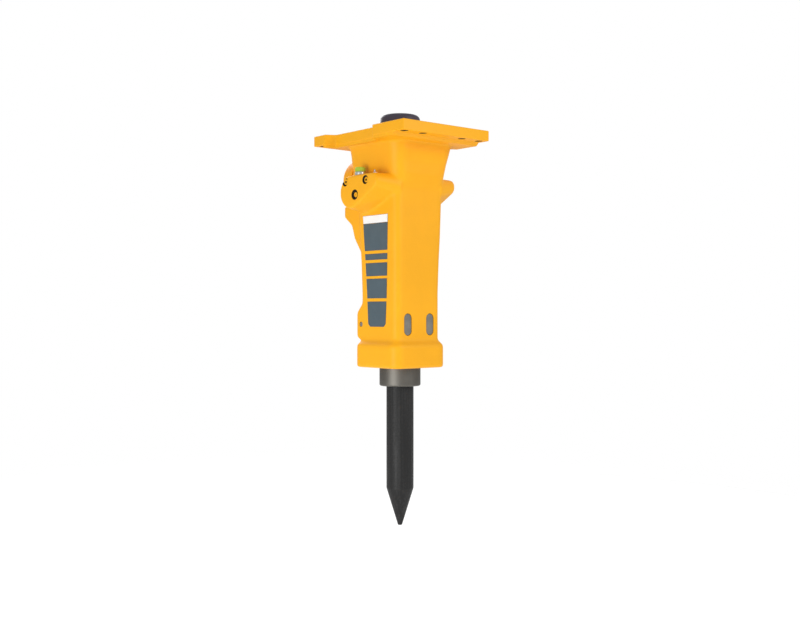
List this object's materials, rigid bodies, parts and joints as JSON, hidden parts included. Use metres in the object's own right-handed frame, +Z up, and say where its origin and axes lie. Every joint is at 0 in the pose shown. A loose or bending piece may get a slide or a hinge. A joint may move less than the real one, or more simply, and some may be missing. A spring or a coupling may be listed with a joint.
{
  "type": "hydraulic breaker hammer",
  "caption": "Solid-body hydraulic breaker with a bolt-on top flange, a sliding pointed tool, a floating lower bush and side oil ports.",
  "frame": {"origin": "centre of the top flange's upper face, on the tool's axis", "axes": "+Z up along the tool's axis, toward the carrier; +X from the left side boss to the right one; +Y to the back, toward the accumulator and the control valve"},
  "size_m": [0.3874, 0.4928, 1.4325],
  "materials": {
    "yellow_paint": "satin yellow paint on cast steel",
    "dark_paint": "dark grey paint",
    "tool_steel": "black oiled forged steel",
    "bush_steel": "hardened steel, dull",
    "bright_steel": "ground steel",
    "black_steel": "black oxide steel",
    "grey_rubber": "grey moulded rubber",
    "black_rubber": "black seal rubber",
    "lime_plastic": "lime green transport cap",
    "decal_film": "blue-grey printed film with a white top panel"
  },
  "bodies": {
    "housing": {"accumulator_bolt_1": "black_steel", "accumulator_bolt_2": "black_steel", "accumulator_bolt_3": "black_steel", "accumulator_bolt_4": "black_steel", "accumulator_bolt_5": "black_steel", "accumulator_bolt_6": "black_steel", "accumulator_cover": "yellow_paint", "backhead": "dark_paint", "backhead_o_ring": "black_rubber", "body": "yellow_paint", "bush_pin": "bush_steel", "bush_pin_plug": "grey_rubber", "charge_valve": "bright_steel", "cylinder_liner": "bright_steel", "decal_left": "decal_film", "decal_right": "decal_film", "diaphragm": "black_rubber", "gallery_plug_left_1": "yellow_paint", "gallery_plug_left_2": "yellow_paint", "gallery_plug_left_3": "yellow_paint", "gallery_plug_right_1": "yellow_paint", "gallery_plug_right_2": "yellow_paint", "gallery_plug_right_3": "yellow_paint", "gas_seal": "black_rubber", "gas_valve": "bright_steel", "grease_nipple": "bright_steel", "lock_pin_plug": "grey_rubber", "lower_oil_seal": "black_rubber", "port_adapter_left": "bright_steel", "port_adapter_right": "bright_steel", "port_seal_left": "bright_steel", "port_seal_right": "bright_steel", "retainer_bar_left": "bush_steel", "retainer_bar_right": "bush_steel", "retainer_lock_pin": "bush_steel", "retainer_plug_left": "grey_rubber", "retainer_plug_right": "grey_rubber", "seal_carrier": "bright_steel", "thrust_ring": "bright_steel", "upper_bush": "bush_steel", "upper_oil_seal": "black_rubber", "valve_bolt_1": "black_steel", "valve_bolt_2": "black_steel", "valve_bolt_3": "black_steel", "valve_bolt_4": "black_steel", "valve_cover": "yellow_paint", "valve_cover_seal": "black_rubber", "valve_sleeve": "bright_steel"},
    "tool": {"tool": "tool_steel"},
    "piston": {"piston": "bright_steel"},
    "spool": {"valve_spool": "bright_steel"},
    "floating_bush": {"lower_bush": "bush_steel", "dust_seal": "black_rubber"},
    "left_port_cap": {"port_cap_left": "lime_plastic"},
    "right_port_cap": {"port_cap_right": "lime_plastic"}
  },
  "joints": [
    {"name": "tool_slide", "type": "slide", "parent": "housing", "child": "tool", "axis": [0, 0, 1], "range_m": [0, 0.055]},
    {"name": "piston_slide", "type": "slide", "parent": "housing", "child": "piston", "axis": [0, 0, 1], "range_m": [0, 0.075]},
    {"name": "spool_slide", "type": "slide", "parent": "housing", "child": "spool", "axis": [0, 1, 0], "range_m": [0, 0.012]},
    {"name": "lower_bush_spin", "type": "hinge", "parent": "housing", "child": "floating_bush", "pos_m": [0, 0, -0.8], "axis": [0, 0, 1], "continuous": true},
    {"name": "port_cap_left_pull", "type": "slide", "parent": "housing", "child": "left_port_cap", "axis": [0, 0, 1], "range_m": [0, 0.03]},
    {"name": "port_cap_right_pull", "type": "slide", "parent": "housing", "child": "right_port_cap", "axis": [0, 0, 1], "range_m": [0, 0.03]}
  ]
}
